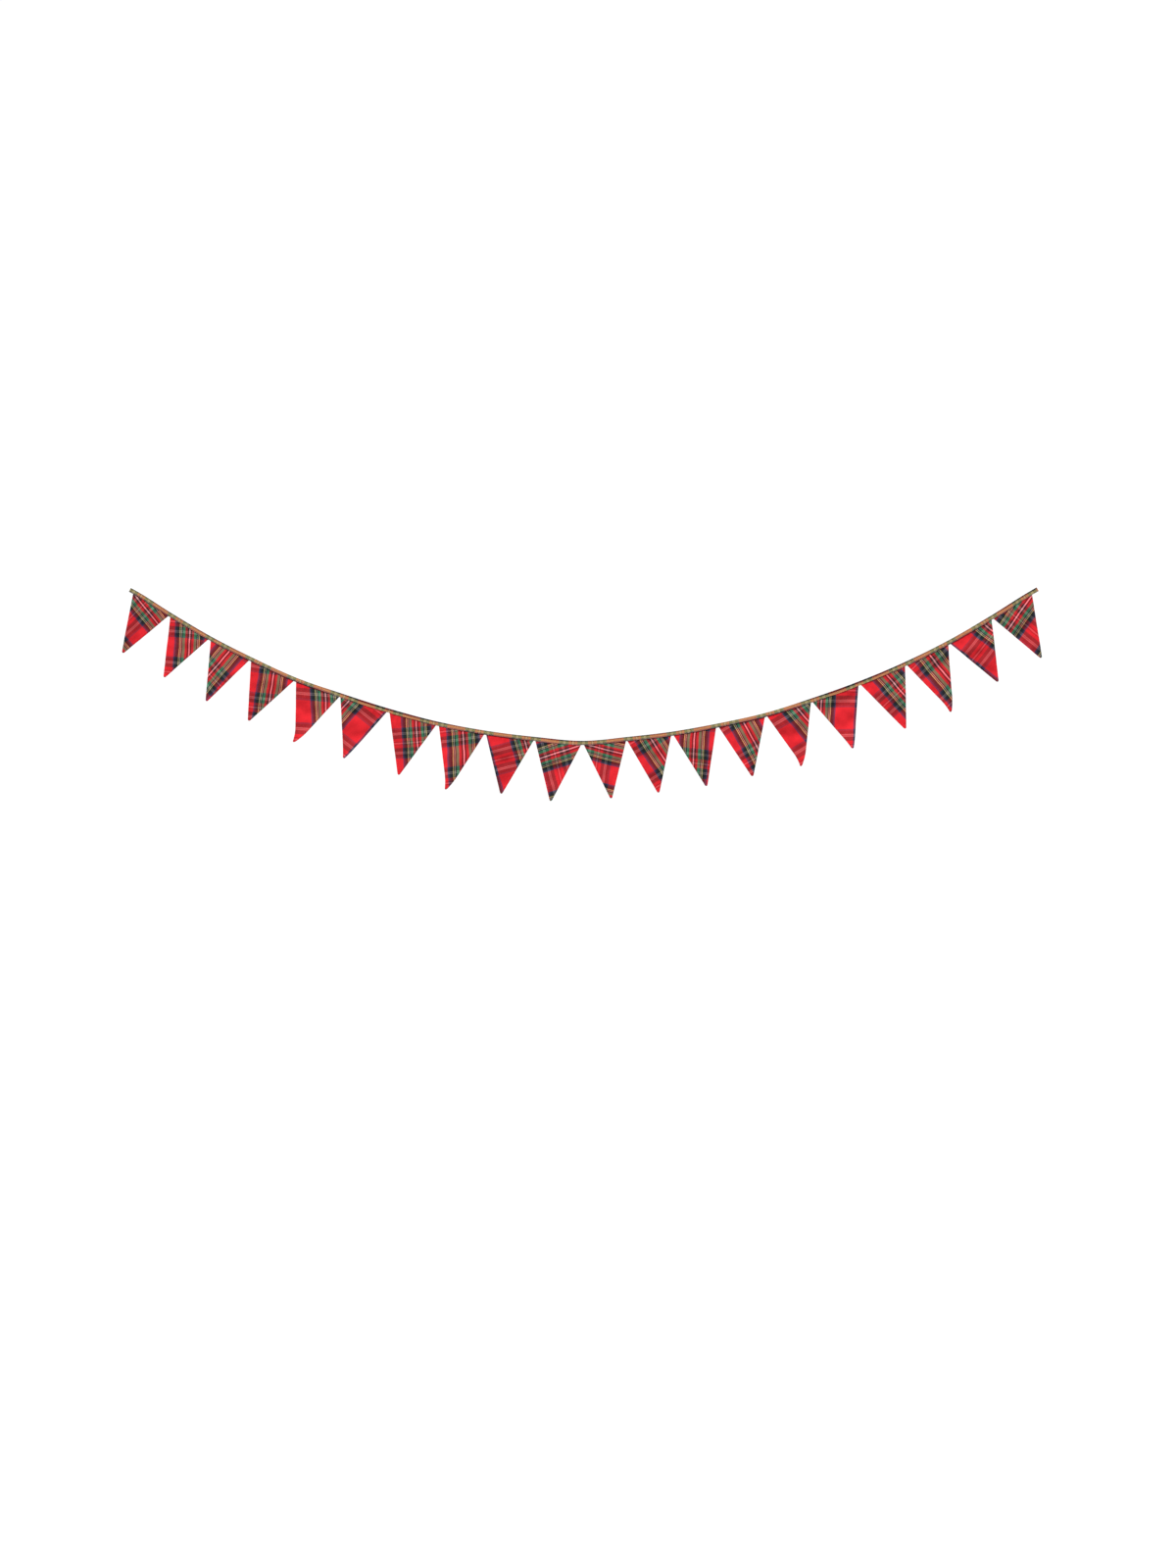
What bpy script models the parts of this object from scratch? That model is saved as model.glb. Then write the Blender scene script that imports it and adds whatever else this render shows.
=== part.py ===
"""Tartan bunting: a long folded cloth tape in a hanging swag, with a row of triangular pennants sewn into it.

Metres, +Z up, +X to the right along the swag, and the front faces -Y. The origin is the left end
of the tape, on the top of its fold. The tape is one strip folded over lengthwise, open below, and
each pennant's top edge is tucked up between its two plies.
"""
from collections import namedtuple
from math import cos, pi, sin

import bpy
import numpy as np
from mathutils import Vector

MM = 0.001

# The tape, as folded
TAPE_DEPTH = 13.0 * MM         # from the fold down to the two sewn edges
TAPE_PLY = 1.0 * MM
TAPE_SLOT = 1.8 * MM           # between the plies, where a pennant is tucked in
TAPE_CLOSED = 0.4 * MM         # between the plies, where there is none
FOLD_STEPS = 4                 # facets round the fold
SLOT_EASE = 1.0 * MM           # the slot stays open this far past a pennant's corner
END_CLOSED = 5.0 * MM          # an end is closed up to this far from the nearest corner

# How far the tape wanders to the front and back between its ends
SWAY = 3.0 * MM
SWAY_WAVES = 3.5
SWAY_FROM_END = 250.0 * MM

# A pennant: two layers of cloth, sewn face to face and turned
PENNANT_CLOTH = 1.2 * MM
PENNANT_TUCK = 10.0 * MM       # the part hidden in the tape
PENNANT_COLUMNS = 4
PENNANT_ROWS = (0.0, 0.1, 0.22, 0.36, 0.5, 0.64, 0.77, 0.88, 0.96, 1.0)
TIP_WIDTH = 6.0 * MM
TIP_ROUND = 0.5                # width of the last row, against the tip's own
CURL_FROM = 0.75               # a tip bends aside below this share of the drop

# How a pennant leaves the swag's plane: largest swing of its tip, turn of its edges and swell
SWING = 7.0 * MM
TURN = 4.0 * MM
SWELL = 3.0 * MM

# The fold of the tape in the swag, in mm from its left end: the two ends, and between them
# one row for each pennant's left corner and one for the last pennant's right corner.
Hang = namedtuple("Hang", "run fall")
HANG = (
    Hang(0, 0),
    Hang(13, 7), Hang(128, 79), Hang(252, 152), Hang(376, 215), Hang(514, 278),
    Hang(650, 325), Hang(801, 373), Hang(952, 413), Hang(1097, 440), Hang(1248, 459),
    Hang(1396, 471), Hang(1529, 459), Hang(1671, 442), Hang(1810, 417), Hang(1958, 384),
    Hang(2097, 340), Hang(2245, 287), Hang(2387, 227), Hang(2520, 161), Hang(2652, 84),
    Hang(2767, 12),
    Hang(2791, -2),
)

# The pennants in mm, cut ten at a time: width along the tape, drop below it, how far the tip
# stands right of the middle, and how far the end of the tip bends aside. The lay is used twice.
Cut = namedtuple("Cut", "width drop lean curl")
LAY = (
    Cut(129, 171, 4, 0), Cut(135, 169, 9, 0), Cut(132, 171, 6, 0), Cut(144, 169, -4, 0),
    Cut(140, 177, -9, -8), Cut(149, 175, -5, -2), Cut(147, 177, 1, 0), Cut(141, 188, -8, -6),
    Cut(146, 174, -5, 0), Cut(140, 180, -8, 0),
)

TAPE_COLOUR = (0.42, 0.19, 0.09)
PENNANT_COLOUR = (0.52, 0.03, 0.04)
CLOTH_ROUGHNESS = 0.8


def clear_scene():
    for obj in list(bpy.data.objects):
        bpy.data.objects.remove(obj, do_unlink=True)


def cloth_material(name, colour):
    material = bpy.data.materials.new(name)
    material.use_nodes = True
    shader = material.node_tree.nodes["Principled BSDF"]
    shader.inputs["Base Color"].default_value = (*colour, 1.0)
    shader.inputs["Roughness"].default_value = CLOTH_ROUGHNESS
    shader.inputs["Metallic"].default_value = 0.0
    return material


def ease(value):
    """0 to 1, level at both ends."""
    value = min(max(value, 0.0), 1.0)
    return value * value * (3.0 - 2.0 * value)


class Swag:
    """The line of the fold, as a smooth curve through the HANG rows, measured along its length."""

    SPAN_STEPS = 40

    def __init__(self, rows):
        knots = np.array([(row.run, -row.fall) for row in rows]) * MM
        slopes = np.gradient(knots, np.cumsum(self.spans(knots)), axis=0)
        points = [knots[0]]
        for a, b, da, db in zip(knots, knots[1:], slopes, slopes[1:]):
            length = np.linalg.norm(b - a)
            for t in np.linspace(0.0, 1.0, self.SPAN_STEPS + 1)[1:]:
                points.append((2 * t**3 - 3 * t**2 + 1) * a + (3 * t**2 - 2 * t**3) * b
                              + length * ((t**3 - 2 * t**2 + t) * da + (t**3 - t**2) * db))
        self.points = np.array(points)
        self.stations = np.cumsum(self.spans(self.points))
        self.length = self.stations[-1]
        self.corners = [self.stations[n * self.SPAN_STEPS] for n in range(len(rows))]

    @staticmethod
    def spans(points):
        return np.concatenate(([0.0], np.linalg.norm(np.diff(points, axis=0), axis=1)))

    def at(self, station, depth=0.0, out=0.0):
        """The point at a depth below the fold and a distance behind the tape's own sheet."""
        step = 0.5 * MM
        x, z = (np.interp(station, self.stations, self.points[:, n]) for n in (0, 1))
        back, ahead = max(station - step, 0.0), min(station + step, self.length)
        along = Vector([np.interp(ahead, self.stations, self.points[:, n])
                        - np.interp(back, self.stations, self.points[:, n]) for n in (0, 1)])
        along.normalize()
        return Vector((x + depth * along.y, self.sway(station) + out, z - depth * along.x))

    def sway(self, station):
        from_end = min(station, self.length - station)
        return SWAY * ease(from_end / SWAY_FROM_END - 0.2) * sin(2 * pi * SWAY_WAVES * station / self.length)


def grid_object(name, rows, thickness, colour, collection):
    """A sheet through rows of points, given its thickness equally on both sides."""
    columns = len(rows[0])
    faces = [(r * columns + c, r * columns + c + 1, (r + 1) * columns + c + 1, (r + 1) * columns + c)
             for r in range(len(rows) - 1) for c in range(columns - 1)]
    mesh = bpy.data.meshes.new(name)
    mesh.from_pydata([point for row in rows for point in row], [], faces)
    mesh.materials.append(cloth_material(name, colour))
    mesh.shade_smooth()
    obj = bpy.data.objects.new(name, mesh)
    collection.objects.link(obj)
    sheet = obj.modifiers.new("cloth", "SOLIDIFY")
    sheet.thickness = thickness
    sheet.offset = 0.0
    sheet.use_even_offset = True
    sheet.use_quality_normals = True
    return obj


def tape_section(swag, station, slot):
    """Points across the folded strip, from its front edge over the fold to its back edge."""
    radius = 0.5 * (slot + TAPE_PLY)
    centre = 0.5 * TAPE_PLY + radius
    points = [swag.at(station, TAPE_DEPTH, -radius)]
    for step in range(FOLD_STEPS + 1):
        angle = pi * step / FOLD_STEPS
        points.append(swag.at(station, centre - radius * sin(angle), -radius * cos(angle)))
    points.append(swag.at(station, TAPE_DEPTH, radius))
    return points


def tape_stations(swag, pennants):
    """Stations along the tape with the slot's width at each: open at pennants, closed between."""
    first, last = pennants[0][0], pennants[-1][1]
    stations = [(0.0, TAPE_CLOSED), (first - END_CLOSED, TAPE_CLOSED)]
    for index, (left, right) in enumerate(pennants):
        if index:
            stations.append((0.5 * (pennants[index - 1][1] + left), TAPE_CLOSED))
        stations.append((left - SLOT_EASE, TAPE_SLOT))
        stations += [(left + (right - left) * c / PENNANT_COLUMNS, TAPE_SLOT)
                     for c in range(PENNANT_COLUMNS + 1)]
        stations.append((right + SLOT_EASE, TAPE_SLOT))
    stations += [(last + END_CLOSED, TAPE_CLOSED), (swag.length, TAPE_CLOSED)]
    return stations


def pennant_rows(swag, left, right, cut, index):
    """Rows of points down a pennant, from the edge hidden in the tape to the tip."""
    shares = [c / PENNANT_COLUMNS for c in range(PENNANT_COLUMNS + 1)]
    stations = [left + (right - left) * share for share in shares]
    rows = [[swag.at(station, TAPE_DEPTH - PENNANT_TUCK) for station in stations]]
    top = [swag.at(station, TAPE_DEPTH) for station in stations]
    along = (top[-1] - top[0]).normalized()
    down = Vector((along.z, 0.0, -along.x))
    tip = 0.5 * (top[0] + top[-1]) + cut.lean * MM * along + cut.drop * MM * down
    swing = SWING * sin(2.3 * index + 0.6)
    turn = TURN * sin(3.7 * index + 1.9)
    swell = SWELL * sin(5.1 * index + 0.3)
    for t in PENNANT_ROWS:
        width = TIP_WIDTH * (TIP_ROUND if t == PENNANT_ROWS[-1] else 1.0)
        curl = cut.curl * MM * (max(t - CURL_FROM, 0.0) / (1.0 - CURL_FROM)) ** 2
        row = []
        for share, start in zip(shares, top):
            end = tip + along * ((share - 0.5) * width)
            out = (swing * t + turn * (2.0 * share - 1.0) * sin(pi * t)
                   + swell * sin(pi * share) * sin(pi * t)) * ease(4.0 * t)
            row.append(start.lerp(end, t) + along * curl + Vector((0.0, out, 0.0)))
        rows.append(row)
    return rows


def main():
    clear_scene()
    collection = bpy.data.collections.new("tartan_bunting")
    bpy.context.scene.collection.children.link(collection)
    swag = Swag(HANG)
    cuts = LAY + LAY
    lefts = swag.corners[1:1 + len(cuts)]
    pennants = [(left, left + cut.width * MM) for left, cut in zip(lefts, cuts)]
    sections = [tape_section(swag, station, slot) for station, slot in tape_stations(swag, pennants)]
    grid_object("binding_tape", sections, TAPE_PLY, TAPE_COLOUR, collection)
    for index, ((left, right), cut) in enumerate(zip(pennants, cuts)):
        rows = pennant_rows(swag, left, right, cut, index)
        grid_object(f"pennant_{index + 1:02d}", rows, PENNANT_CLOTH, PENNANT_COLOUR, collection)


main()
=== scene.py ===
"""Looks of a tartan bunting: twenty sewn pennants hanging from a folded cloth tape.

Metres, +Z up, and the front faces -Y. The origin is the left end of the tape, on top of its fold.
Every sheet is a closed mesh: a front and a back that meet in a rolled edge. Each piece has a UV map
that counts the cloth's own threads, so that one tartan finish serves every cut of it.
"""
from collections import namedtuple

import bpy
import numpy as np
from bpy.props import FloatProperty, FloatVectorProperty, IntProperty, PointerProperty
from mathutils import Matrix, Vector


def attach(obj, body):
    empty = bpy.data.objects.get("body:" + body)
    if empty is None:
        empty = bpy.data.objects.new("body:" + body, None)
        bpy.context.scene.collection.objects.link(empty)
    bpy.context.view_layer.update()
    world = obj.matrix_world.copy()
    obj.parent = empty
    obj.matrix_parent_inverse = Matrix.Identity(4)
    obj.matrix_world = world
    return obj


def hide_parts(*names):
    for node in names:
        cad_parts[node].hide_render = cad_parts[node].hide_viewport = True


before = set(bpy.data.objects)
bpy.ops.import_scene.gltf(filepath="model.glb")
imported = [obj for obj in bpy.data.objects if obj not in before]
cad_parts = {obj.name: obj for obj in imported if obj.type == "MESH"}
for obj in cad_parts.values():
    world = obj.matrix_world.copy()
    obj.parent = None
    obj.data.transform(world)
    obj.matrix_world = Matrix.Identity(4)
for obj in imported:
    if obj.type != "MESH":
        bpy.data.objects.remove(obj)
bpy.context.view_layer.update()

bl_info = {
    "name": "Tartan bunting",
    "version": (1, 0, 0),
    "blender": (4, 5, 0),
    "location": "3D View > Sidebar > Bunting",
    "description": "Sews the cloth of a tartan bunting round its plain solids and lights it",
    "category": "Object",
}

MM = 0.001
THREAD_MAP = "threads"         # the UV map: across the warp, and across the weft

# The fold of the tape in the swag, in mm from its left end: the two ends, and between them
# one row for each pennant's left corner and one for the last pennant's right corner.
Hang = namedtuple("Hang", "run fall")
HANG = (
    Hang(0, 0),
    Hang(13, 7), Hang(128, 79), Hang(252, 152), Hang(376, 215), Hang(514, 278),
    Hang(650, 325), Hang(801, 373), Hang(952, 413), Hang(1097, 440), Hang(1248, 459),
    Hang(1396, 471), Hang(1529, 459), Hang(1671, 442), Hang(1810, 417), Hang(1958, 384),
    Hang(2097, 340), Hang(2245, 287), Hang(2387, 227), Hang(2520, 161), Hang(2652, 84),
    Hang(2767, 12),
    Hang(2791, -2),
)

# The pennants in mm, cut ten at a time: width along the tape, drop below it, how far the tip
# stands right of the middle, and how far the end of the tip bends aside. The lay is used twice.
Cut = namedtuple("Cut", "width drop lean curl")
LAY = (
    Cut(129, 171, 4, 0), Cut(135, 169, 9, 0), Cut(132, 171, 6, 0), Cut(144, 169, -4, 0),
    Cut(140, 177, -9, -8), Cut(149, 175, -5, -2), Cut(147, 177, 1, 0), Cut(141, 188, -8, -6),
    Cut(146, 174, -5, 0), Cut(140, 180, -8, 0),
)
PENNANTS = 2 * len(LAY)

# How the cloth lies on each pennant of the lay. The turns are from straight down to the warp
# and to the weft, in degrees; a line is how far, in mm, the middle of the top edge is from the
# nearest pale line of the warp, or from the weft's; a thread is one step of the sett, in mm.
Grain = namedtuple("Grain", "warp_turn warp_line warp_thread weft_turn weft_line weft_thread")
GRAIN = (
    Grain(19.5, -18.7, 0.75, 104, -15.6, 0.76), Grain(63, 3.3, 0.81, 155, -16.9, 0.815),
    Grain(103.5, -0.2, 0.80, 17, -96.3, 0.77), Grain(74.5, 5.3, 0.80, 162, 116, 0.80),
    Grain(67.6, 22.6, 0.81, 166, -18.1, 0.92), Grain(113, -42.5, 0.77, 20, 11.6, 0.89),
    Grain(71.8, 10.1, 0.80, 160.5, 70.9, 0.80), Grain(77, 4.8, 0.89, 162, -3.1, 0.826),
    Grain(67, 42.3, 0.785, 159, 57.4, 0.79), Grain(157, 27.7, 0.80, 71, -18.6, 0.81),
)
BACK_STEP = 3                  # a pennant's back is cut like the front of the third one on

# Soft folds of the ten pennants of the lay. Where the middle of a fold is, in mm right of the
# middle and down from the tape; how far its line turns down to the right, in degrees; and how
# wide, long and high it is, in mm. A trough has a height below nothing.
Fold = namedtuple("Fold", "pennant across down turn reach length rise")
FOLDS = (
    Fold(1, -6, 62, 25, 19, 60, -3.8), Fold(1, 4, 124, 12, 18, 40, 3.0),
    Fold(1, 22, 22, 40, 14, 40, 3.0), Fold(1, 4, 171, 0, 80, 90, -5.0),
    Fold(2, -14, 52, 15, 18, 50, -4.0), Fold(2, -2, 104, 20, 20, 50, 4.6),
    Fold(2, 26, 36, -40, 15, 45, 2.4), Fold(2, 4, 170, 0, 80, 90, -6.0),
    Fold(2, 0, 125, 0, 55, 70, -3.0),
    Fold(3, 44, 60, -25, 20, 50, 5.0), Fold(3, -14, 88, 30, 18, 50, -3.4),
    Fold(3, -20, 24, 50, 14, 45, 2.4), Fold(3, 6, 170, 0, 80, 90, -5.0),
    Fold(4, -22, 92, 10, 18, 45, 4.2), Fold(4, 22, 28, -15, 16, 50, 3.0),
    Fold(4, -4, 134, -10, 15, 40, 3.0), Fold(4, -4, 169, 0, 80, 90, -4.0),
    Fold(5, -22, 42, 4, 18, 60, 2.4), Fold(5, -12, 78, 8, 17, 60, -3.4),
    Fold(5, -8, 124, 0, 18, 50, -3.0), Fold(5, 26, 40, 60, 13, 40, 2.2),
    Fold(5, -9, 177, 0, 80, 90, 5.0),
    Fold(6, -4, 34, -10, 17, 70, -5.0), Fold(6, 2, 100, -10, 20, 60, -4.0),
    Fold(6, 30, 66, 60, 15, 50, 2.4), Fold(6, -4, 195, 0, 80, 90, 12.0),
    Fold(6, 25, 165, 90, 30, 50, 7.0),
    Fold(7, -38, 44, 20, 17, 45, 4.0), Fold(7, 14, 78, 10, 18, 50, 3.6),
    Fold(7, -8, 124, -16, 17, 50, -3.0), Fold(7, 0, 175, 0, 80, 90, -7.0),
    Fold(8, 0, 50, -8, 20, 90, -5.4), Fold(8, -18, 92, 76, 14, 70, 4.4),
    Fold(8, 24, 84, 60, 16, 50, 2.6), Fold(8, -8, 200, 0, 70, 90, 12.0),
    Fold(9, -34, 46, 20, 20, 60, 5.0), Fold(9, 10, 74, 8, 24, 50, -6.0),
    Fold(9, 8, 132, -30, 16, 50, -3.6), Fold(9, 36, 30, -50, 15, 45, -2.6),
    Fold(9, -4, 170, 0, 80, 90, -11.0),
    Fold(10, 24, 28, -22, 15, 55, 3.6), Fold(10, -24, 62, -16, 16, 50, 3.0),
    Fold(10, -6, 80, 0, 18, 60, -3.6), Fold(10, 0, 138, 10, 15, 40, 3.0),
    Fold(10, -8, 180, 0, 80, 90, -5.0),
)

# The sett, in threads from the pale line to the middle of the wide red, where it turns back.
HALF_SETT = 96
Stripe = namedtuple("Stripe", "start yarn")
WARP_SETT = (
    Stripe(0, "white"), Stripe(1.6, "red"), Stripe(3, "wine"), Stripe(8, "crimson"),
    Stripe(16.6, "green"), Stripe(26.8, "black"), Stripe(30.7, "fine"), Stripe(33.3, "drab"),
    Stripe(36.2, "yellow"), Stripe(39, "black"), Stripe(46.5, "navy"), Stripe(52.4, "blue"),
    Stripe(57.8, "red"),
)
WEFT_SETT = (
    Stripe(0, "white"), Stripe(2.0, "red"), Stripe(4.0, "black"), Stripe(6.2, "red"),
    Stripe(17.8, "green"), Stripe(31.7, "fine"), Stripe(34, "drab"), Stripe(38.5, "fine"),
    Stripe(40.9, "black"), Stripe(52.6, "blue"), Stripe(58.7, "red"),
)
TONE = 1.9                     # how much darker two crossing yarns look than their mean

# The tape is cut along the warp. Its stripes start this many mm below the fold on the front, or
# with a minus before the number, on the back.
TAPE_SPAN = 24.0               # the stripes are charted this far both ways
TAPE_STRIPES = (
    Stripe(-24, "red"), Stripe(-13, "blue"), Stripe(-9, "black"), Stripe(1.8, "yellow"),
    Stripe(2.6, "black"), Stripe(3.3, "yellow"), Stripe(4.6, "black"), Stripe(5.0, "yellow"),
    Stripe(6.6, "black"), Stripe(6.9, "yellow"), Stripe(8.9, "black"), Stripe(9.9, "fine"),
    Stripe(11.8, "black"),
)
# How far each pennant's stretch of tape has slipped down in the fold, and where the middle of a
# wide red of the weft crosses it, right of the pennant's left corner. In mm.
Slip = namedtuple("Slip", "down red")
TAPE_SLIP = (
    Slip(0, 97), Slip(0.5, 96), Slip(0, 90), Slip(-1.5, 92), Slip(-1.5, 82),
    Slip(4, 83), Slip(3.2, 68), Slip(0, 53), Slip(-0.5, 50), Slip(2, 45),
)
TAPE_JOIN = 1480 * MM          # two lengths of tape are joined here


def settings():
    return bpy.context.scene.bunting


def ease(value):
    """0 to 1, level at both ends."""
    value = np.clip(value, 0.0, 1.0)
    return value * value * (3.0 - 2.0 * value)


def swell(distance, reach):
    """1 at no distance, fading to nothing by about twice the reach."""
    return np.exp(-(np.asarray(distance) / reach) ** 2)


# One of the small waves that keep cloth from lying dead flat: its height, its length divided by
# two pi, and how far it moves on from one pennant to the next and from one side to the other.
Wave = namedtuple("Wave", "height length beat side")


def waves(table, place, number=0, side=0):
    """The sum of a table's waves at a place."""
    return sum(wave.height * np.sin(place / wave.length + wave.beat * number + wave.side * side)
               for wave in table)


def rolled(distance, half):
    """Half the thickness of a sheet at a distance from its edge, which is rolled over."""
    roll = np.clip(distance / half, 0.0, 1.0)
    return half * np.sqrt(1.0 - (1.0 - roll) ** 2)


def linear(colour):
    """A display colour, 0 to 1, as the linear colour that a shader takes."""
    return tuple(c / 12.92 if c <= 0.04045 else ((c + 0.055) / 1.055) ** 2.4 for c in colour)


# ---------------------------------------------------------------- sizes and colours

def length_prop(name, description, default):
    return FloatProperty(name=name, description=description, default=default, min=0.0,
                         subtype="DISTANCE", unit="LENGTH", precision=5)


def yarn_prop(name, description, red, green, blue):
    """A yarn's display colour, from parts of 255."""
    return FloatVectorProperty(name=name, description=description, subtype="COLOR_GAMMA",
                               min=0.0, max=1.0, default=(red / 255, green / 255, blue / 255))


class WarpYarns(bpy.types.PropertyGroup):
    """Colours of the yarns that run along the cloth and show the most."""
    white: yarn_prop("White", "Pale line in the narrow red", 255, 190, 196)
    red: yarn_prop("Red", "Ground of the tartan", 228, 30, 42)
    wine: yarn_prop("Wine", "Dark lines beside the pale one", 48, 12, 16)
    crimson: yarn_prop("Crimson", "Narrow red, deeper than the ground", 198, 31, 40)
    black: yarn_prop("Black", "Dark stripes", 12, 16, 16)
    green: yarn_prop("Green", "Green stripe", 60, 142, 100)
    fine: yarn_prop("Fine grey", "Thin pale line by the green", 182, 176, 154)
    drab: yarn_prop("Drab", "Between the thin lines", 34, 31, 31)
    yellow: yarn_prop("Yellow", "Thin line by the black", 224, 208, 132)
    navy: yarn_prop("Navy", "Softer half of the black stripe", 22, 31, 46)
    blue: yarn_prop("Blue", "Edge of the black stripe", 66, 52, 92)


class WeftYarns(bpy.types.PropertyGroup):
    """Colours of the yarns that run across the cloth, mostly under the warp."""
    white: yarn_prop("White", "Pale line in the narrow red", 226, 140, 142)
    red: yarn_prop("Red", "Ground of the tartan", 228, 30, 42)
    black: yarn_prop("Black", "Dark stripes", 24, 21, 22)
    green: yarn_prop("Green", "Green stripe", 26, 36, 34)
    fine: yarn_prop("Fine grey", "Thin pale lines by the green", 178, 160, 153)
    drab: yarn_prop("Drab", "Between the thin pale lines", 130, 114, 110)
    blue: yarn_prop("Blue", "Edge of the black stripe", 58, 50, 76)


class BuntingSettings(bpy.types.PropertyGroup):
    """Sizes and colours of the bunting."""
    warp: PointerProperty(type=WarpYarns)
    weft: PointerProperty(type=WeftYarns)
    thread: yarn_prop("Sewing thread", "Stitches along the tape", 120, 48, 40)
    tape_depth: length_prop("Tape depth", "From the fold to the sewn edges", 13.0 * MM)
    tape_ply: length_prop("Tape ply", "Thickness of each side of the tape", 1.0 * MM)
    pennant_cloth: length_prop("Pennant cloth", "Thickness of a pennant's two layers", 1.2 * MM)
    pennant_tuck: length_prop("Tuck", "Pennant cloth hidden in the tape", 10.0 * MM)
    seam_width: length_prop("Seam allowance", "Doubled cloth inside a sewn side", 7.0 * MM)
    stitch_pitch: length_prop("Stitch pitch", "From one stitch to the next", 3.0 * MM)
    stitch_length: length_prop("Stitch length", "Thread that shows in a stitch", 2.4 * MM)
    stitch_thread: length_prop("Thread", "Thickness of the sewing thread", 0.45 * MM)
    stitch_seed: IntProperty(name="Stitch seed", description="Unevenness of the stitches",
                             default=7, min=0)
    warp_share: FloatProperty(name="Warp share", description="Part of the face that is warp",
                              default=0.65, min=0.0, max=1.0, subtype="FACTOR")


# ---------------------------------------------------------------- shape of the cloth

class Swag:
    """The line of the fold, as a smooth curve through the HANG rows, measured along its length."""

    SPAN_STEPS = 40
    SWAY = 3.0 * MM
    SWAY_WAVES = 3.5
    SWAY_FROM_END = 250.0 * MM
    STRAIGHT_END = 0.2             # share of that stretch that doesn't sway

    def __init__(self, rows):
        knots = np.array([(row.run, -row.fall) for row in rows]) * MM
        slopes = np.gradient(knots, np.cumsum(self.spans(knots)), axis=0)
        points = [knots[0]]
        for a, b, da, db in zip(knots, knots[1:], slopes, slopes[1:]):
            length = np.linalg.norm(b - a)
            for t in np.linspace(0.0, 1.0, self.SPAN_STEPS + 1)[1:]:
                points.append((2 * t**3 - 3 * t**2 + 1) * a + (3 * t**2 - 2 * t**3) * b
                              + length * ((t**3 - 2 * t**2 + t) * da + (t**3 - t**2) * db))
        self.points = np.array(points)
        self.stations = np.cumsum(self.spans(self.points))
        self.length = self.stations[-1]
        self.corners = [self.stations[n * self.SPAN_STEPS] for n in range(len(rows))]

    @staticmethod
    def spans(points):
        return np.concatenate(([0.0], np.linalg.norm(np.diff(points, axis=0), axis=1)))

    def line(self, station):
        return [np.interp(station, self.stations, self.points[:, n]) for n in (0, 1)]

    def at(self, station, depth=0.0, out=0.0):
        """Points at a depth below the fold and a distance behind the tape's own sheet."""
        station, depth, out = np.broadcast_arrays(station, depth, out)
        step = 0.5 * MM
        x, z = self.line(station)
        back, ahead = (self.line(np.clip(station + s, 0.0, self.length)) for s in (-step, step))
        dx, dz = ahead[0] - back[0], ahead[1] - back[1]
        size = np.hypot(dx, dz)
        return np.stack((x + depth * dz / size, self.sway(station) + out,
                         z - depth * dx / size), axis=-1)

    def sway(self, station):
        from_end = np.minimum(station, self.length - station)
        return (self.SWAY * ease(from_end / self.SWAY_FROM_END - self.STRAIGHT_END)
                * np.sin(2 * np.pi * self.SWAY_WAVES * station / self.length))


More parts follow.
